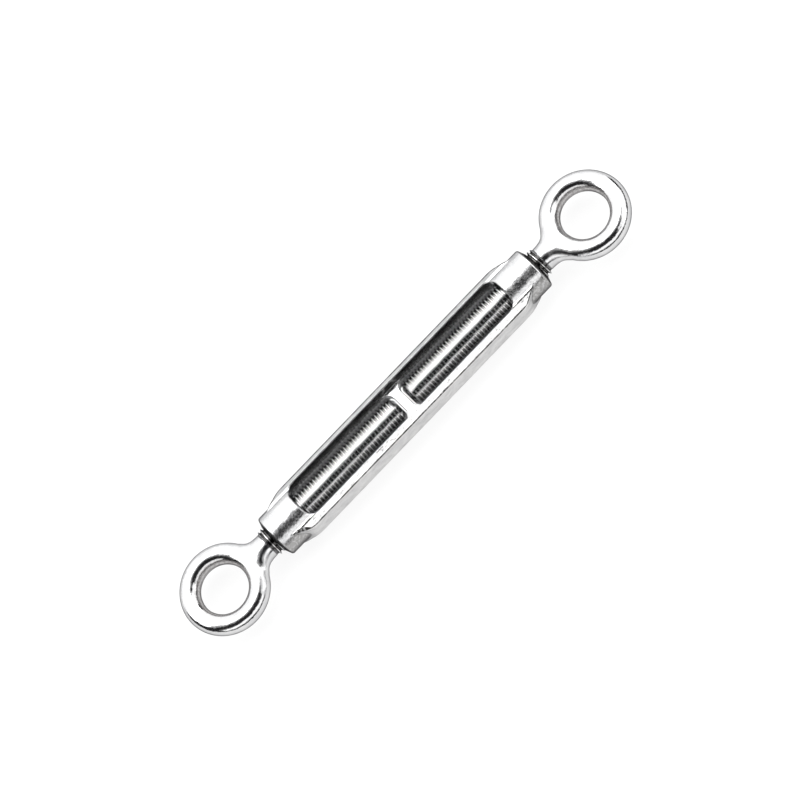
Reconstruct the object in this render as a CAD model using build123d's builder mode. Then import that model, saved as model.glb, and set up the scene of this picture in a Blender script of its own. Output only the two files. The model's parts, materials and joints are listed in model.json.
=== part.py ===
from build123d import *
import math
import os

# Rigging turnbuckle, eye and eye: an open frame with a threaded hub at each end, a right-hand
# eye bolt in one hub and a left-hand eye bolt in the other. Turning the frame draws both in.
# Millimetres. The origin is the centre of the frame, +X runs along the bolts towards the
# right-hand eye, and +Z is square to the flat of the frame and of the eyes.

# M16 thread
thread_diameter = 16.0
thread_pitch = 2.0
thread_depth = 0.6134 * thread_pitch
thread_crest_flat = thread_pitch / 8
thread_root_flat = thread_pitch / 4
thread_allowance = 0.02
thread_angle = 60.0
thread_radius = thread_diameter / 2 - thread_allowance
thread_root_radius = thread_radius - thread_depth
running_clearance = 0.05
ridge_overlap = 0.2
cutting_margin = 0.3

# Frame
frame_length = 187.5
hub_diameter = 24.6
hub_length = 21.9
hub_end_height = 1.6
hub_corner_radius = 1.4
hub_skirt_radius = 1.1
hub_lip_radius = 0.4
rail_outer = 13.9
rail_edge_height = 5.7
rail_edge_radius = 0.9
rail_ridge = 10.35
rail_ridge_height = 8.45
flare_length = 10.5
flare_rise = 4.6
flare_offset = 7.3
flare_radius = 13.7
flare_blend_radius = 10.3
window_half_width = 9.35
window_corner_radius = 4.8
window_draft = 6.9
bridge_width = 5.0
bridge_thickness = 5.3
window_bevel = 0.5

# Eye bolts
eye_spacing = 256.6
eye_hole_diameter = 25.8
eye_stock_diameter = 10.8
eye_land_length = 2.2
neck_diameter = 13.8
neck_fillet_radius = 9.8
neck_sink = 0.1
thread_start = 30.4
thread_runout = 1.4
runout_depth = 0.35
bolt_tip_gap = 3.4
bolt_tip_radius = 4.6
bolt_tip_length = 2.6

# How closely an edge's place is matched when it is picked
slack = 0.1

os.makedirs("parts", exist_ok=True)

# ---------------------------------------------------------------- values worked out from these
half_frame = frame_length / 2
hub_radius = hub_diameter / 2
bore_radius = thread_diameter / 2 + running_clearance
window_end = half_frame - hub_length
bridge_half = bridge_width / 2
window_middle = (window_end + bridge_half) / 2
bridge_reach = bridge_half + window_corner_radius
flare_start = half_frame - flare_offset - flare_length
flare_end = half_frame - 2 * hub_end_height
flare_inner = rail_outer - flare_rise
hub_inner_end = window_end - window_corner_radius
bore_length = half_frame - hub_inner_end

eye_centre = eye_spacing / 2
stock_radius = eye_stock_diameter / 2
land_radius = eye_hole_diameter / 2
ring_radius = land_radius + math.sqrt(stock_radius**2 - (eye_land_length / 2) ** 2)
ring_outer = ring_radius + stock_radius
neck_radius = neck_diameter / 2

# The fillet between the ring and the neck touches both: its centre lies this far out from the
# bolt's axis and this far from the centre of the eye.
fillet_offset = neck_radius + neck_fillet_radius
fillet_reach = math.sqrt((ring_outer + neck_fillet_radius) ** 2 - fillet_offset**2)
touch_reach = fillet_reach * ring_outer / (ring_outer + neck_fillet_radius)

# The thread runs from just past the tip to its run-out near the neck
thread_end = eye_centre - thread_start
thread_begin = bolt_tip_gap - thread_pitch
thread_length = thread_end - thread_begin
clear_radius = thread_radius + cutting_margin
flank_slope = math.tan(math.radians(thread_angle / 2))
ridge_foot_half = (thread_pitch - thread_root_flat) / 2 + ridge_overlap * flank_slope

# The neck thins from its full diameter to a little under the stock of the eye
neck_thinning = neck_radius - stock_radius + neck_sink
neck_step = (fillet_reach - touch_reach) / 3


def neck_half_width(reach):
    """Half the width of the neck, this far from the centre of the eye."""
    if reach >= fillet_reach:
        return neck_radius
    along_fillet = fillet_reach - max(reach, touch_reach)
    return fillet_offset - math.sqrt(neck_fillet_radius**2 - along_fillet**2)


def is_outer_rail_edge(edge):
    """True of the edges that run along the outside of the rails and their flares."""
    middle = edge @ 0.5
    runs_along = abs((edge @ 0).X - (edge @ 1).X) > slack
    is_outside = abs(middle.Y) > flare_inner + slack
    return runs_along and is_outside and abs(middle.Z) > rail_edge_height - slack


def is_window_rim(edge):
    """True of the edges around the mouths of the windows, on the rails and across the hubs."""
    points = [edge @ step for step in (0, 0.5, 1)]
    at_mouth = all(abs(abs(point.Y) - rail_ridge) < slack for point in points)
    on_ridge = all(abs(abs(point.Z) - rail_ridge_height) < slack for point in points)
    on_hub = all(abs(math.hypot(point.Y, point.Z) - hub_radius) < slack for point in points)
    near_end = abs(points[1].X) < window_end + bridge_half
    curved = edge.geom_type != GeomType.LINE
    return (on_ridge and at_mouth) or (near_end and curved and (on_ridge or on_hub))


# How far each section of the neck lies from the centre of the eye, and half its thickness
neck_sections = (
    (thread_start, neck_radius),
    (fillet_reach, neck_radius),
    (fillet_reach - neck_step, neck_radius - neck_thinning / 4),
    (fillet_reach - 2 * neck_step, neck_radius - 3 * neck_thinning / 4),
    (fillet_reach - 3 * neck_step, neck_radius - neck_thinning),
    (ring_radius, neck_radius - neck_thinning),
)


# ---------------------------------------------------------------- frame
# What is cut from between the rails: a shallow recess above and below the bridge, and a deep
# window each side of it, all drafted both ways from the middle plane
with BuildPart(mode=Mode.PRIVATE) as window_cutter:
    with BuildSketch():
        RectangleRounded(2 * window_end, 2 * window_half_width, window_corner_radius)
    extrude(amount=hub_diameter, both=True, taper=-window_draft)
    with BuildSketch():
        Rectangle(2 * bridge_reach, 2 * rail_outer)
    extrude(amount=bridge_thickness / 2, both=True, mode=Mode.SUBTRACT)
    with BuildSketch():
        with Locations((window_middle, 0), (-window_middle, 0)):
            RectangleRounded(window_end - bridge_half, 2 * window_half_width, window_corner_radius)
    extrude(amount=hub_diameter, both=True, taper=-window_draft)

with BuildPart() as turnbuckle_frame:
    # Plan outline of the two rails, flared out from the hubs
    with BuildSketch():
        with BuildLine():
            FilletPolyline(
                (0, rail_outer),
                (flare_start, rail_outer),
                (flare_start + flare_length, flare_inner),
                (flare_end, flare_inner),
                radius=(flare_radius, flare_blend_radius),
            )
            Polyline((flare_end, flare_inner), (flare_end, 0), (0, 0), (0, rail_outer))
        make_face()
        mirror(about=Plane.XZ)
        mirror(about=Plane.YZ)
    extrude(amount=rail_ridge_height, both=True)

    # The faces of the rails fall away towards their outer edges
    with BuildSketch(Plane.YZ):
        with BuildLine():
            Polyline(
                (0, rail_ridge_height),
                (rail_ridge, rail_ridge_height),
                (rail_outer, rail_edge_height),
                (rail_outer, 0),
                (0, 0),
                close=True,
            )
        make_face()
        mirror(about=Plane.YZ)
        mirror(about=Plane.XZ)
    extrude(amount=half_frame, both=True, mode=Mode.INTERSECT)
    fillet(turnbuckle_frame.edges().filter_by(is_outer_rail_edge), radius=rail_edge_radius)

    # Hubs, each with a low conical end around its bore
    with BuildSketch():
        with BuildLine():
            FilletPolyline(
                (hub_inner_end, 0),
                (hub_inner_end, hub_radius),
                (half_frame - hub_end_height, hub_radius),
                (half_frame, bore_radius),
                (half_frame, 0),
                radius=(hub_skirt_radius, hub_corner_radius, hub_lip_radius),
            )
            Line((half_frame, 0), (hub_inner_end, 0))
        make_face()
        mirror(about=Plane.YZ)
    revolve(axis=Axis.X)

    # Windows, and the recesses over the bridge
    add(window_cutter.part, mode=Mode.SUBTRACT)

    # Bores for the two bolts, as far as the windows
    for bore_start in (hub_inner_end, -half_frame):
        with BuildSketch(Plane.YZ.offset(bore_start)):
            Circle(bore_radius)
        extrude(amount=bore_length, mode=Mode.SUBTRACT)

    # Bevel around the mouths of the windows
    rims = turnbuckle_frame.edges().filter_by(is_window_rim)
    chamfer(rims, length=window_bevel)

turnbuckle_frame.part.label = "turnbuckle_frame"
export_step(turnbuckle_frame.part, "parts/turnbuckle_frame.step")

# ---------------------------------------------------------------- right-hand eye bolt
# The thread's ridge: a helix of trapezoidal section that sinks a little into the core
with BuildPart(mode=Mode.PRIVATE) as thread_ridge:
    with BuildLine():
        helix = Helix(thread_pitch, thread_length, thread_root_radius, (thread_begin, 0, 0), (1, 0, 0))
    helix_start = helix @ 0
    outward = Vector(0, helix_start.Y, helix_start.Z)
    with BuildSketch(Plane(helix_start, x_dir=outward, z_dir=helix % 0)):
        with BuildLine():
            Polyline(
                (-ridge_overlap, -ridge_foot_half),
                (thread_depth, -thread_crest_flat / 2),
                (thread_depth, thread_crest_flat / 2),
                (-ridge_overlap, ridge_foot_half),
                close=True,
            )
        make_face()
    sweep(path=helix, is_frenet=True)

# What is cut away at the two ends of the thread: the tip's chamfer and the run-out
with BuildPart(mode=Mode.PRIVATE) as thread_ends:
    with BuildSketch():
        with BuildLine():
            Polyline(
                (bolt_tip_gap, 0),
                (bolt_tip_gap, bolt_tip_radius),
                (bolt_tip_gap + bolt_tip_length, clear_radius),
                (thread_begin - thread_pitch, clear_radius),
                (thread_begin - thread_pitch, 0),
                close=True,
            )
        make_face()
        with BuildLine():
            Polyline(
                (thread_end - thread_runout, clear_radius),
                (thread_end, neck_radius - runout_depth),
                (thread_end + 2 * thread_pitch, neck_radius - runout_depth),
                (thread_end + 2 * thread_pitch, clear_radius),
                close=True,
            )
        make_face()
    revolve(axis=Axis.X)

with BuildPart() as right_hand_eye_bolt:
    # Threaded rod
    with BuildSketch(Plane.YZ.offset(bolt_tip_gap)):
        Circle(thread_root_radius)
    extrude(amount=thread_end + thread_pitch - bolt_tip_gap)
    add(thread_ridge.part)
    add(thread_ends.part, mode=Mode.SUBTRACT)

    # Neck: sections across the bolt, that widen along the fillet and thin down to the eye
    for reach, half_thickness in neck_sections:
        with BuildSketch(Plane.YZ.offset(eye_centre - reach)):
            Ellipse(neck_half_width(reach), half_thickness)
    loft()

    # Eye, with a narrow flat land around the inside of its hole
    with BuildSketch(Plane.XZ):
        with Locations((eye_centre + ring_radius, 0)):
            Circle(stock_radius)
    revolve(axis=Axis((eye_centre, 0, 0), (0, 0, 1)))
    with BuildSketch():
        with Locations((eye_centre, 0)):
            Circle(land_radius)
    extrude(amount=neck_radius, both=True, mode=Mode.SUBTRACT)

right_hand_eye_bolt.part.label = "right_hand_eye_bolt"
export_step(right_hand_eye_bolt.part, "parts/right_hand_eye_bolt.step")

# ---------------------------------------------------------------- left-hand eye bolt
with BuildPart() as left_hand_eye_bolt:
    mirror(right_hand_eye_bolt.part, about=Plane.YZ)

left_hand_eye_bolt.part.label = "left_hand_eye_bolt"
export_step(left_hand_eye_bolt.part, "parts/left_hand_eye_bolt.step")
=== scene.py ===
import json
import math

import bpy
from mathutils import Matrix, Vector


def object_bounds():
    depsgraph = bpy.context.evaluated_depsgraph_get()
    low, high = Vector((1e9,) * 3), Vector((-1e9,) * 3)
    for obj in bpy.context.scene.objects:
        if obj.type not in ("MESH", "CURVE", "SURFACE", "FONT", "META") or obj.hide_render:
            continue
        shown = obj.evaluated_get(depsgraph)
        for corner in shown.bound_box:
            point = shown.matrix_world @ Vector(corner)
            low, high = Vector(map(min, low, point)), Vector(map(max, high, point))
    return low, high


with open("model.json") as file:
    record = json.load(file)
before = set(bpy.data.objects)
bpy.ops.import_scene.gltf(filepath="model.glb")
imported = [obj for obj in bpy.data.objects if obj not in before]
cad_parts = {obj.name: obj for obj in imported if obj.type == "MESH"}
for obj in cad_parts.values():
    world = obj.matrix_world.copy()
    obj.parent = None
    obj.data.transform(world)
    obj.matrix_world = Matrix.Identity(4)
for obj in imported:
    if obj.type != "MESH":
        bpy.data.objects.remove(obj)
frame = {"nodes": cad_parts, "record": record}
cad_low, cad_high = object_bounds()

MM_PER_M = 1000.0

# ---- camera -------------------------------------------------------------------------------
CAMERA_TILT = math.radians(23.5)  # from straight above, towards the low side of the part
PICTURE_TURN = math.radians(46.1)  # the screw axis above the picture's horizontal
CAMERA_DISTANCE = 1.89
VIEW_WIDTH = 0.3953  # across the picture, at the part
AIM_RIGHT = -0.0025  # the picture's middle, off the part's origin
AIM_UP = 0.0011
SENSOR_WIDTH_MM = 36.0

# ---- studio -------------------------------------------------------------------------------
FLOOR_HALF = 3.0
PANEL_LENGTH = 3.4
PANEL_DISTANCE = 1.0
SKY = (  # soft panels: name, from and to in degrees from straight up towards +Y, radiance
    ("low_side_panel", -74.0, -48.5, 1.5),
    ("near_key_panel", -9.0, 5.0, 0.5),
    ("main_key_panel", 5.0, 46.0, 3.6),
    ("far_key_panel", 46.0, 88.0, 1.5),
)
SIDE_AT = (0.80, -0.22, 0.56)  # which way the side panel lies
SIDE_SIZE = (0.9, 0.75)
SIDE_RADIANCE = 1.6
WORLD_COLOUR = (0.02, 0.02, 0.021, 1.0)

# ---- floor paper --------------------------------------------------------------------------
PAPER_COLOUR = (0.13, 0.13, 0.13, 1.0)
PAPER_FLECK = (0.12, 0.12, 0.12, 1.0)
PAPER_NOISE = (0.02, 3.0)  # scale per millimetre, detail, then roughness and distortion if any
PAPER_ROUGHNESS = 0.9
PAPER_GLOW = 0.88  # lifts the floor to the white of a lit backdrop
GLOW_COLOUR = (1.0, 1.0, 1.0, 1.0)

# ---- metal: colours -----------------------------------------------------------------------
EDGE_TINT = (0.12, 0.12, 0.125, 1.0)  # darkens the metal where it turns away
CAST_DARK = (0.61, 0.612, 0.62, 1.0)
CAST_LIGHT = (0.71, 0.71, 0.712, 1.0)
CAST_MOTTLE = (0.50, 0.50, 0.51, 1.0)
PORE_COLOUR = (0.16, 0.155, 0.15, 1.0)
# painted shade on the window's inner walls
WINDOW_WALL_SHADE_COLOUR = (0.12, 0.118, 0.115, 1.0)
# painted shade: dark lines along the rails' arrises
ARRIS_SHADE_COLOUR = (0.03, 0.029, 0.028, 1.0)
# painted light on the rails' outer walls and low-side sloping faces
OUTER_FACE_LIGHT_COLOUR = (0.94, 0.935, 0.93, 1.0)
# painted shade on the hubs' flanks
HUB_FLANK_SHADE_COLOUR = (0.33, 0.325, 0.32, 1.0)
# painted shade on the hubs' end faces
HUB_END_SHADE_COLOUR = (0.10, 0.098, 0.095, 1.0)
FORGED_DARK = (0.62, 0.62, 0.628, 1.0)
FORGED_LIGHT = (0.72, 0.718, 0.72, 1.0)
FORGED_MOTTLE = (0.5, 0.5, 0.51, 1.0)
# painted shade in the thread's roots
ROOT_SHADE_COLOUR = (0.45, 0.445, 0.44, 1.0)
# painted shade in the thread roots outside the hubs
BARE_ROOT_SHADE_COLOUR = (0.05, 0.048, 0.045, 1.0)
# painted highlight on the thread crests
CREST_HIGHLIGHT_COLOUR = (0.88, 0.88, 0.88, 1.0)
# painted shade inside the eye, where it is also rubbed rougher
RUBBED_SHADE_COLOUR = (0.36, 0.345, 0.34, 1.0)

# ---- metal: how much of a colour shows at most, and what a place adds to the roughness -----
CAST_MOTTLE_SHARE = 0.22
PORE_SHARE = 0.75
WINDOW_WALL_SHADE_SHARE = 0.6
OUTER_FACE_LIGHT_SHARE = (0.7, 1.0)
HUB_FLANK_SHADE_SHARE = (0.45, 0.95)
HUB_END_SHADE_SHARE = 0.8
FORGED_MOTTLE_SHARE = 0.2
ROOT_SHADE_SHARE = 0.45
BARE_ROOT_SHADE_SHARE = 0.9
CREST_HIGHLIGHT_SHARE = 0.8
RUBBED_SHADE_SHARE = (0.35, 0.9)
BROKEN_ARRIS_SHARE = (0.55, 1.0)
CAST_ROUGHNESS = (0.10, 0.17)
FORGED_ROUGHNESS = (0.09, 0.16)
LINE_ROUGHNESS = (-0.02, 0.04)
PIT_ROUGHNESS = 0.3
HUB_ROUGHNESS = (0.04, 0.14)
ARRIS_ROUGHNESS = 0.25
ROOT_SMOOTHNESS = 0.06
CREST_ROUGHNESS = 0.07
RUBBED_ROUGHNESS = 0.12

# ---- metal: patterns, as scale per millimetre, detail, roughness and distortion ------------
CAST_BROAD = (0.11, 3.0, 0.55, 0.4)
CAST_GRAIN = (0.9, 4.0, 0.6)
CAST_WAVES = (0.22, 2.0, 0.45)
POLISH_LINES = (5.5, 3.0, 0.65)
POLISH_STRETCH = (0.05, 1.0, 1.0)
PORES_PER_MM = 1.25
PORE_PATCHES = (0.35, 2.0)
ARRIS_GAPS = (0.75, 3.0, 0.6)
FORGED_BROAD = (0.13, 3.0, 0.55, 0.3)
FORGED_GRAIN = (1.1, 4.0, 0.6)
FORGED_WAVES = (0.25, 2.0, 0.45)
SCRATCHES = (6.0, 2.0, 0.7, 0.6)
SCRATCH_STRETCH = (0.5, 1.0, 0.06)

# What part of a pattern's 0 to 1 is used
TONE_RANGE = (0.32, 0.68)
BROAD_RANGE = (0.3, 0.7)
PATCH_RANGE = (0.35, 0.6)
CAST_MOTTLE_RANGE = (0.35, 0.75)
FORGED_MOTTLE_RANGE = (0.4, 0.8)
SCRATCH_RANGE = (0.35, 0.7)
GAP_RANGE = (0.35, 0.55)
PORE_PATCH_RANGE = (0.52, 0.64)

# How far from its scattered point a pore ends, and where it is full depth
PORE_EDGE = (0.16, 0.04)

# ---- metal: soft thresholds; a pair is where the mask is 0 and where it is 1 ----------------
# Millimetres from the part's middle, or from the screw axis
ON_RAIL_RADIUS = (12.5, 12.8)
ON_HUB_RADIUS = (12.8, 12.5)
WINDOW_WALL_RADIUS = (8.3, 9.0)
HUB_ALONG = (72.0, 73.5)
HUB_END_ALONG = (91.0, 91.8)
HUB_FLANK_ACROSS = (9.2, 10.4)
RIDGE_ACROSS = 10.2  # the line where the rail's face meets the hub
RIDGE_WIDTH = (0.6, 0.3)
RIDGE_FROM = (72.6, 73.4)
RIDGE_TO = (86.0, 85.0)
OUTLINE_ALONG = (76.0, 86.5)  # where the rail's outline runs in towards the hub
OUTLINE_ACROSS = (13.9, 9.3)
FLARE_ALONG = (75.0, 79.0)
FLARE_EXTRA_WIDTH = 1.3
LINE_WIDTH_LOW = 0.65
LINE_WIDTH_FAR = 0.95
MARGIN_SOFTNESS = (-0.15, 0.15)
LOW_SIDE = (1.0, -1.0)
FAR_SIDE = (-1.0, 1.0)
LEFT_END = (1.0, -1.0)
ROOT_RADIUS = (7.5, 6.9)
CREST_RADIUS = (7.45, 7.8)
BARE_THREAD_ALONG = (93.2, 94.2)
EYE_BEARING_RADIUS = (15.6, 13.6)
THREAD_FADE = 1.5
THREAD_START_FROM_EYE_MM = 30.4
NECK_FROM_EYE = (-10.0, -14.0)
NECK_TO_THREAD = (-30.0, -27.0)

# One component of the surface normal, or its size; below 0 it points at the screw axis
WINDOW_WALL_FACING = (-0.55, -0.85)
LEANING = (0.08, 0.25)
OFF_SLOPING_FACE = (0.775, 0.72)
SLOPING_FROM = (0.775, 0.785)
SLOPING_TO = (0.815, 0.805)
OUTER_WALL_FACING = (0.84, 0.985)
HUB_END_FACING = (0.35, 0.75)

# ---- metal: reliefs, in millimetres -------------------------------------------------------
FRAME_EDGE_SOFTENING = 0.35
FRAME_WAVE = 0.22
FRAME_GRAIN = 0.04
HUB_EXTRA_GRAIN = 0.05
POLISH_LINE_DEPTH = 0.0035
PIT_DEPTH = 0.05
BOLT_EDGE_SOFTENING = 0.12
NECK_EXTRA_SOFTENING = 2.8
BOLT_WAVE = 0.16
BOLT_GRAIN = 0.034
SHANK_LESS_GRAIN = 0.018
SCRATCH_DEPTH = 0.003
BEVEL_SAMPLES = 6


# ---- node helpers -------------------------------------------------------------------------
def new_material(name):
    """An empty node material and its tree, with a Principled shader wired to the output."""
    material = bpy.data.materials.new(name)
    material.use_nodes = True
    tree = material.node_tree
    tree.nodes.clear()
    out = tree.nodes.new("ShaderNodeOutputMaterial")
    shader = tree.nodes.new("ShaderNodeBsdfPrincipled")
    tree.links.new(shader.outputs["BSDF"], out.inputs["Surface"])
    return material, tree, shader


def put(tree, socket, value):
    """Links an output to a socket, or sets the socket's own value."""
    if isinstance(value, bpy.types.NodeSocket):
        tree.links.new(value, socket)
    else:
        socket.default_value = value


def maths(tree, operation, *values, clamp=False):
    node = tree.nodes.new("ShaderNodeMath")
    node.operation = operation
    node.use_clamp = clamp
    for socket, value in zip(node.inputs, values):
        put(tree, socket, value)
    return node.outputs[0]


def times(tree, first, *others):
    """The product of two or more values."""
    for other in others:
        first = maths(tree, "MULTIPLY", first, other)
    return first


def spread(tree, value, low, high, to_low=0.0, to_high=1.0):
    """Maps low..high to to_low..to_high with soft ends."""
    node = tree.nodes.new("ShaderNodeMapRange")
    node.interpolation_type = "SMOOTHSTEP"
    put(tree, node.inputs["Value"], value)
    node.inputs["From Min"].default_value = low
    node.inputs["From Max"].default_value = high
    put(tree, node.inputs["To Min"], to_low)
    put(tree, node.inputs["To Max"], to_high)
    return node.outputs["Result"]


def straight(tree, value, low, high, to_low, to_high):
    """Maps low..high to to_low..to_high in a straight line, and holds the ends."""
    node = tree.nodes.new("ShaderNodeMapRange")
    put(tree, node.inputs["Value"], value)
    node.inputs["From Min"].default_value = low
    node.inputs["From Max"].default_value = high
    node.inputs["To Min"].default_value = to_low
    node.inputs["To Max"].default_value = to_high
    return node.outputs["Result"]


def millimetres(tree, stretch=(1.0, 1.0, 1.0)):
    """The piece's own coordinates in millimetres, each axis scaled by stretch."""
    coordinates = tree.nodes.new("ShaderNodeTexCoord")
    mapping = tree.nodes.new("ShaderNodeMapping")
    mapping.inputs["Scale"].default_value = tuple(MM_PER_M * s for s in stretch)
    tree.links.new(coordinates.outputs["Object"], mapping.inputs["Vector"])
    return mapping.outputs["Vector"]


def noise(tree, vector, scale, detail=3.0, rough=0.5, distortion=0.0):
    node = tree.nodes.new("ShaderNodeTexNoise")
    tree.links.new(vector, node.inputs["Vector"])
    node.inputs["Scale"].default_value = scale
    node.inputs["Detail"].default_value = detail
    node.inputs["Roughness"].default_value = rough
    node.inputs["Distortion"].default_value = distortion
    return node.outputs["Fac"]


def cells(tree, vector, scale):
    """Distance to the nearest scattered point."""
    node = tree.nodes.new("ShaderNodeTexVoronoi")
    tree.links.new(vector, node.inputs["Vector"])
    node.inputs["Scale"].default_value = scale
    return node.outputs["Distance"]


def mix_colour(tree, factor, first, second):
    node = tree.nodes.new("ShaderNodeMix")
    node.data_type = "RGBA"
    put(tree, node.inputs["Factor"], factor)
    put(tree, node.inputs["A"], first)
    put(tree, node.inputs["B"], second)
    return node.outputs["Result"]


def metres(tree, length_mm):
    """A length in millimetres, a number or an output, in metres."""
    if isinstance(length_mm, bpy.types.NodeSocket):
        return maths(tree, "DIVIDE", length_mm, MM_PER_M)
    return length_mm / MM_PER_M


def bump(tree, height, depth_mm, normal):
    """A bump whose height runs from 0 to 1 and stands for depth_mm, a number or an output."""
    node = tree.nodes.new("ShaderNodeBump")
    tree.links.new(height, node.inputs["Height"])
    put(tree, node.inputs["Distance"], metres(tree, depth_mm))
    node.inputs["Strength"].default_value = 1.0
    tree.links.new(normal, node.inputs["Normal"])
    return node.outputs["Normal"]


def rounded(tree, radius_mm):
    """The surface normal with sharp edges softened over radius_mm, a number or an output."""
    node = tree.nodes.new("ShaderNodeBevel")
    node.samples = BEVEL_SAMPLES
    put(tree, node.inputs["Radius"], metres(tree, radius_mm))
    return node.outputs["Normal"]


def xyz(tree, vector):
    node = tree.nodes.new("ShaderNodeSeparateXYZ")
    tree.links.new(vector, node.inputs["Vector"])
    return node.outputs["X"], node.outputs["Y"], node.outputs["Z"]


def object_normal(tree):
    """The surface normal in the piece's own axes."""
    geometry = tree.nodes.new("ShaderNodeNewGeometry")
    turn = tree.nodes.new("ShaderNodeVectorTransform")
    turn.vector_type = "NORMAL"
    turn.convert_from = "WORLD"
    turn.convert_to = "OBJECT"
    tree.links.new(geometry.outputs["True Normal"], turn.inputs["Vector"])
    return turn.outputs["Vector"]


def radius_of(tree, a, b):
    """The length of the vector (a, b)."""
    squares = maths(tree, "ADD", maths(tree, "MULTIPLY", a, a), maths(tree, "MULTIPLY", b, b))
    return maths(tree, "SQRT", squares)


# ---- the frame's metal --------------------------------------------------------------------
def arris_shade_lines(tree, place, normal_z):
    """A mask of lines along the arrises of the rails, 0 to 1, for painted shade and added
    roughness.
    """
    x, y, z = xyz(tree, place)
    out_x = maths(tree, "ABSOLUTE", x)
    out_y = maths(tree, "ABSOLUTE", y)
    upright = maths(tree, "ABSOLUTE", normal_z)
    low_side = spread(tree, y, *LOW_SIDE)
    leaning = spread(tree, upright, *LEANING)
    # painted shade where the surface leans between upright and the sloping face
    between = times(tree, leaning, spread(tree, upright, *OFF_SLOPING_FACE))

    # A painted shade margin along the rail's outline, wider on the flare at the low left
    outline = straight(tree, out_x, *OUTLINE_ALONG, *OUTLINE_ACROSS)
    in_from_outline = maths(tree, "SUBTRACT", outline, out_y)
    low_left = times(tree, low_side, spread(tree, x, *LEFT_END))
    flare_width = times(tree, spread(tree, out_x, *FLARE_ALONG, 0.0, FLARE_EXTRA_WIDTH), low_left)
    plain_width = spread(tree, y, *FAR_SIDE, LINE_WIDTH_LOW, LINE_WIDTH_FAR)
    line_width = maths(tree, "ADD", flare_width, plain_width)
    within = maths(tree, "SUBTRACT", line_width, in_from_outline)
    margin = times(tree, spread(tree, within, *MARGIN_SOFTNESS), leaning)

    # A painted shade line beside each hub, on the low side
    to_ridge = maths(tree, "ABSOLUTE", maths(tree, "SUBTRACT", out_y, RIDGE_ACROSS))
    ridge = times(tree, spread(tree, to_ridge, *RIDGE_WIDTH), spread(tree, out_x, *RIDGE_FROM))
    ridge = times(tree, ridge, low_side, spread(tree, out_x, *RIDGE_TO))

    lines = maths(tree, "MAXIMUM", maths(tree, "MAXIMUM", between, margin), ridge)
    on_rail = spread(tree, radius_of(tree, y, z), *ON_RAIL_RADIUS)
    broken = spread(tree, noise(tree, place, *ARRIS_GAPS), *GAP_RANGE, *BROKEN_ARRIS_SHARE)
    return times(tree, lines, on_rail, broken)


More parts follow.
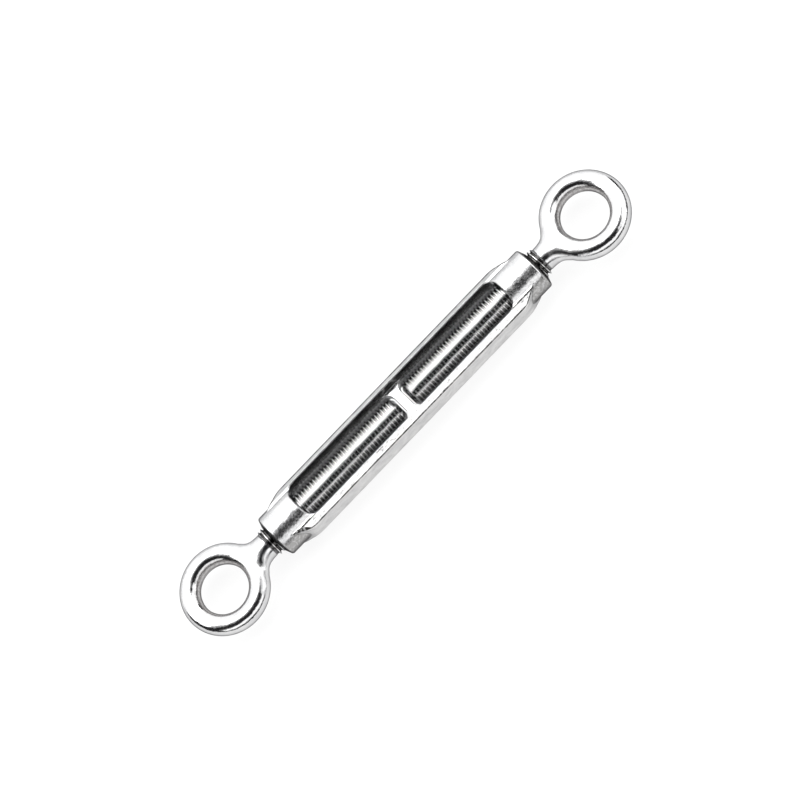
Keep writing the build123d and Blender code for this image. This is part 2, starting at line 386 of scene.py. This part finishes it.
def frame_metal():
    """Cast stainless steel, tumbled and polished: soft waves, fine pores, long polishing lines."""
    material, tree, shader = new_material("frame_metal_polished_casting")
    shader.inputs["Metallic"].default_value = 1.0
    shader.inputs["Specular Tint"].default_value = EDGE_TINT
    place = millimetres(tree)
    x, y, z = xyz(tree, place)
    out_x = maths(tree, "ABSOLUTE", x)
    out_y = maths(tree, "ABSOLUTE", y)
    from_axis = radius_of(tree, y, z)
    normal_x, normal_y, normal_z = xyz(tree, object_normal(tree))
    upright = maths(tree, "ABSOLUTE", normal_z)

    # Patterns of the casting and its polish
    broad = noise(tree, place, *CAST_BROAD)
    mottle = noise(tree, place, *CAST_GRAIN)
    lines = noise(tree, millimetres(tree, POLISH_STRETCH), *POLISH_LINES)
    pores = spread(tree, cells(tree, place, PORES_PER_MM), *PORE_EDGE)
    patches = spread(tree, noise(tree, place, *PORE_PATCHES), *PORE_PATCH_RANGE)
    pits = times(tree, pores, patches)

    # Places on the frame
    facing = times(tree, normal_y, maths(tree, "SIGN", y))
    # the window's inner walls, which get painted shade
    window_wall = times(
        tree,
        spread(tree, facing, *WINDOW_WALL_FACING),
        spread(tree, from_axis, *WINDOW_WALL_RADIUS),
    )
    on_rail = spread(tree, from_axis, *ON_RAIL_RADIUS)
    on_hub = times(tree, spread(tree, from_axis, *ON_HUB_RADIUS), spread(tree, out_x, *HUB_ALONG))
    arris_shade = arris_shade_lines(tree, place, normal_z)
    # painted light: outer walls, and sloping faces on the low side only, made lighter
    outer_wall = spread(tree, maths(tree, "ABSOLUTE", normal_y), *OUTER_WALL_FACING)
    outer_wall = times(tree, outer_wall, on_rail)
    sloping = times(tree, spread(tree, upright, *SLOPING_FROM), spread(tree, upright, *SLOPING_TO))
    sloping = times(tree, sloping, on_rail, maths(tree, "SUBTRACT", 1.0, arris_shade))
    sloping = times(tree, sloping, spread(tree, y, *LOW_SIDE))
    lit_outer_faces = maths(tree, "MAXIMUM", outer_wall, sloping)
    uneven = spread(tree, broad, *BROAD_RANGE, *OUTER_FACE_LIGHT_SHARE)
    lit_outer_faces = times(tree, lit_outer_faces, uneven)
    # painted shade on the hubs' flanks, in patches
    hub_flank_shade = times(tree, spread(tree, out_y, *HUB_FLANK_ACROSS), on_hub)
    hub_flank_shade = times(tree, hub_flank_shade, spread(tree, mottle, *PATCH_RANGE, *HUB_FLANK_SHADE_SHARE))
    # painted shade on the hub end faces, by which way they face
    hub_end_shade = times(tree, maths(tree, "ABSOLUTE", normal_x), spread(tree, out_x, *HUB_END_ALONG))
    hub_end_shade = spread(tree, hub_end_shade, *HUB_END_FACING, 0.0, HUB_END_SHADE_SHARE)

    mottled = spread(tree, mottle, *CAST_MOTTLE_RANGE, 0.0, CAST_MOTTLE_SHARE)
    colour = mix_colour(tree, spread(tree, broad, *TONE_RANGE), CAST_DARK, CAST_LIGHT)
    colour = mix_colour(tree, mottled, colour, CAST_MOTTLE)
    colour = mix_colour(tree, times(tree, pits, PORE_SHARE), colour, PORE_COLOUR)
    # painted shade inside the windows
    wall_shade = times(tree, window_wall, WINDOW_WALL_SHADE_SHARE)
    colour = mix_colour(tree, wall_shade, colour, WINDOW_WALL_SHADE_COLOUR)
    # painted shade along the arrises, which are also made rougher below
    colour = mix_colour(tree, arris_shade, colour, ARRIS_SHADE_COLOUR)
    # painted light on the outer faces
    colour = mix_colour(tree, lit_outer_faces, colour, OUTER_FACE_LIGHT_COLOUR)
    # painted shade on the hub flanks
    colour = mix_colour(tree, hub_flank_shade, colour, HUB_FLANK_SHADE_COLOUR)
    # painted shade on the hub ends
    colour = mix_colour(tree, hub_end_shade, colour, HUB_END_SHADE_COLOUR)
    tree.links.new(colour, shader.inputs["Base Color"])

    rough = spread(tree, broad, *BROAD_RANGE, *CAST_ROUGHNESS)
    rough = maths(tree, "ADD", rough, spread(tree, lines, *BROAD_RANGE, *LINE_ROUGHNESS))
    rough = maths(tree, "ADD", rough, times(tree, pits, PIT_ROUGHNESS))
    hub_rough = times(tree, on_hub, spread(tree, mottle, *PATCH_RANGE, *HUB_ROUGHNESS))
    rough = maths(tree, "ADD", rough, hub_rough)
    rough = maths(tree, "ADD", rough, times(tree, arris_shade, ARRIS_ROUGHNESS), clamp=True)
    tree.links.new(rough, shader.inputs["Roughness"])

    softened = rounded(tree, FRAME_EDGE_SOFTENING)
    wavy = bump(tree, noise(tree, place, *CAST_WAVES), FRAME_WAVE, softened)
    grain = maths(tree, "ADD", FRAME_GRAIN, times(tree, on_hub, HUB_EXTRA_GRAIN))
    grained = bump(tree, mottle, grain, wavy)
    lined = bump(tree, lines, POLISH_LINE_DEPTH, grained)
    pitted = bump(tree, maths(tree, "SUBTRACT", 1.0, pits), PIT_DEPTH, lined)
    tree.links.new(pitted, shader.inputs["Normal"])
    return material


# ---- the bolts' metal ---------------------------------------------------------------------
def bolt_metal(eye_x, thread_from):
    """Forged and polished steel: bright eye and neck, and a rolled thread with painted shade in its
    roots and a painted highlight on its crests.
    """
    material, tree, shader = new_material("bolt_metal_forged_polished")
    shader.inputs["Metallic"].default_value = 1.0
    shader.inputs["Specular Tint"].default_value = EDGE_TINT
    place = millimetres(tree)
    x, y, z = xyz(tree, place)
    out_x = maths(tree, "ABSOLUTE", x)
    from_axis = radius_of(tree, y, z)
    beyond_eye = maths(tree, "SUBTRACT", out_x, eye_x)
    from_eye = radius_of(tree, beyond_eye, y)

    # Patterns of the forging and its wear
    broad = noise(tree, place, *FORGED_BROAD)
    mottle = noise(tree, place, *FORGED_GRAIN)
    scratches = noise(tree, millimetres(tree, SCRATCH_STRETCH), *SCRATCHES)

    # Places on the bolt
    threaded = spread(tree, out_x, thread_from, thread_from - THREAD_FADE)
    root = times(tree, spread(tree, from_axis, *ROOT_RADIUS), threaded)
    # painted shade in the roots of the thread left bare outside the hub
    bare_root_shade = times(tree, root, spread(tree, out_x, *BARE_THREAD_ALONG))
    crest = times(tree, spread(tree, from_axis, *CREST_RADIUS), threaded)
    bearing = spread(tree, from_eye, *EYE_BEARING_RADIUS)
    # the eye's bearing inside: painted shade in patches, and rubbed rougher
    rubbed_and_shaded = times(tree, bearing, spread(tree, mottle, *PATCH_RANGE, *RUBBED_SHADE_SHARE))
    near_neck = times(
        tree,
        spread(tree, beyond_eye, *NECK_FROM_EYE),
        spread(tree, beyond_eye, *NECK_TO_THREAD),
    )

    mottled = spread(tree, mottle, *FORGED_MOTTLE_RANGE, 0.0, FORGED_MOTTLE_SHARE)
    colour = mix_colour(tree, spread(tree, broad, *TONE_RANGE), FORGED_DARK, FORGED_LIGHT)
    colour = mix_colour(tree, mottled, colour, FORGED_MOTTLE)
    # painted shade in the thread roots
    colour = mix_colour(tree, times(tree, root, ROOT_SHADE_SHARE), colour, ROOT_SHADE_COLOUR)
    # painted shade, nearly black, in the bare roots
    bare_shade = times(tree, bare_root_shade, BARE_ROOT_SHADE_SHARE)
    colour = mix_colour(tree, bare_shade, colour, BARE_ROOT_SHADE_COLOUR)
    # painted highlight on the crests, which are also rougher below
    colour = mix_colour(tree, times(tree, crest, CREST_HIGHLIGHT_SHARE), colour, CREST_HIGHLIGHT_COLOUR)
    # painted shade inside the eye
    colour = mix_colour(tree, rubbed_and_shaded, colour, RUBBED_SHADE_COLOUR)
    tree.links.new(colour, shader.inputs["Base Color"])

    rough = spread(tree, broad, *BROAD_RANGE, *FORGED_ROUGHNESS)
    scratched = spread(tree, scratches, *SCRATCH_RANGE, *LINE_ROUGHNESS)
    rough = maths(tree, "ADD", rough, scratched)
    rough = maths(tree, "SUBTRACT", rough, times(tree, root, ROOT_SMOOTHNESS))
    rough = maths(tree, "ADD", rough, times(tree, crest, CREST_ROUGHNESS))
    rough = maths(tree, "ADD", rough, times(tree, rubbed_and_shaded, RUBBED_ROUGHNESS), clamp=True)
    tree.links.new(rough, shader.inputs["Roughness"])

    softening = times(tree, near_neck, NECK_EXTRA_SOFTENING)
    softened = rounded(tree, maths(tree, "ADD", softening, BOLT_EDGE_SOFTENING))
    wavy = bump(tree, noise(tree, place, *FORGED_WAVES), BOLT_WAVE, softened)
    grain = maths(tree, "SUBTRACT", BOLT_GRAIN, times(tree, threaded, SHANK_LESS_GRAIN))
    grained = bump(tree, mottle, grain, wavy)
    lined = bump(tree, scratches, SCRATCH_DEPTH, grained)
    tree.links.new(lined, shader.inputs["Normal"])
    return material


def floor_paper():
    """Pale matt studio paper, lifted by a glow of its own."""
    material, tree, shader = new_material("stage_paper")
    flecks = noise(tree, millimetres(tree), *PAPER_NOISE)
    tree.links.new(mix_colour(tree, flecks, PAPER_COLOUR, PAPER_FLECK), shader.inputs["Base Color"])
    shader.inputs["Roughness"].default_value = PAPER_ROUGHNESS
    shader.inputs["Emission Color"].default_value = GLOW_COLOUR
    shader.inputs["Emission Strength"].default_value = PAPER_GLOW
    return material


# ---- dressing the CAD nodes ---------------------------------------------------------------
mounts = {m["name"]: m for m in frame["record"]["mounts"]}
eye_x_mm = abs(mounts["right_hand_eye"]["pos_m"][0]) * MM_PER_M

metal_of_frame = frame_metal()
metal_of_bolts = bolt_metal(eye_x_mm, eye_x_mm - THREAD_START_FROM_EYE_MM)
for node_name, metal in (
    ("turnbuckle_frame", metal_of_frame),
    ("right_hand_eye_bolt", metal_of_bolts),
    ("left_hand_eye_bolt", metal_of_bolts),
):
    mesh = frame["nodes"][node_name].data
    mesh.materials.clear()
    mesh.materials.append(metal)


# ---- floor, light, camera -----------------------------------------------------------------
def add_object(name, data):
    """A new object in the scene's own collection."""
    new_object = bpy.data.objects.new(name, data)
    bpy.context.scene.collection.objects.link(new_object)
    return new_object


def make_floor():
    """A flat sheet of paper at the part's lowest point."""
    corners = [(-1, -1), (1, -1), (1, 1), (-1, 1)]
    mesh = bpy.data.meshes.new("stage_floor")
    points = [(x * FLOOR_HALF, y * FLOOR_HALF, cad_low.z) for x, y in corners]
    mesh.from_pydata(points, [], [(0, 1, 2, 3)])
    mesh.materials.append(floor_paper())
    add_object("stage_floor", mesh)


def make_light(name, length, width, radiance, outward, turn):
    """A soft rectangular panel that looks at the origin from along outward."""
    data = bpy.data.lights.new(name, "AREA")
    data.shape = "RECTANGLE"
    data.size = length
    data.size_y = width
    data.energy = radiance * math.pi * length * width
    panel = add_object(name, data)
    panel.matrix_world = Matrix.Translation(outward * PANEL_DISTANCE) @ turn.to_4x4()


def make_sky_panel(name, from_deg, to_deg, radiance):
    """A panel over the length of the part, between two angles from straight up."""
    middle = math.radians((from_deg + to_deg) / 2)
    half = math.radians((to_deg - from_deg) / 2)
    width = 2 * PANEL_DISTANCE * math.tan(half)
    outward = Vector((0.0, math.sin(middle), math.cos(middle)))
    across = Vector((1.0, 0.0, 0.0))
    turn = Matrix((across, outward.cross(across), outward)).transposed()
    make_light(name, PANEL_LENGTH, width, radiance, outward, turn)


def make_side_panel():
    outward = Vector(SIDE_AT).normalized()
    turn = outward.to_track_quat("Z", "Y").to_matrix()
    make_light("side_panel", *SIDE_SIZE, SIDE_RADIANCE, outward, turn)


def make_world():
    world = bpy.data.worlds.new("studio")
    world.use_nodes = True
    background = world.node_tree.nodes["Background"]
    background.inputs["Color"].default_value = WORLD_COLOUR
    background.inputs["Strength"].default_value = 1.0
    bpy.context.scene.world = world


def make_camera():
    """A long lens, tilted to the part's low side and turned about its line of sight."""
    toward = Vector((0.0, -math.sin(CAMERA_TILT), math.cos(CAMERA_TILT)))
    axis = Vector((1.0, 0.0, 0.0))
    across = toward.cross(axis)
    right = axis * math.cos(PICTURE_TURN) - across * math.sin(PICTURE_TURN)
    up = axis * math.sin(PICTURE_TURN) + across * math.cos(PICTURE_TURN)
    aim = right * AIM_RIGHT + up * AIM_UP
    data = bpy.data.cameras.new("camera")
    data.sensor_width = SENSOR_WIDTH_MM
    data.lens = SENSOR_WIDTH_MM * CAMERA_DISTANCE / VIEW_WIDTH
    camera = add_object("camera", data)
    turn = Matrix((right, up, toward)).transposed().to_4x4()
    camera.matrix_world = Matrix.Translation(aim + toward * CAMERA_DISTANCE) @ turn
    bpy.context.scene.camera = camera


make_floor()
for sky_panel in SKY:
    make_sky_panel(*sky_panel)
make_side_panel()
make_world()
make_camera()
bpy.context.scene.view_settings.view_transform = "Standard"
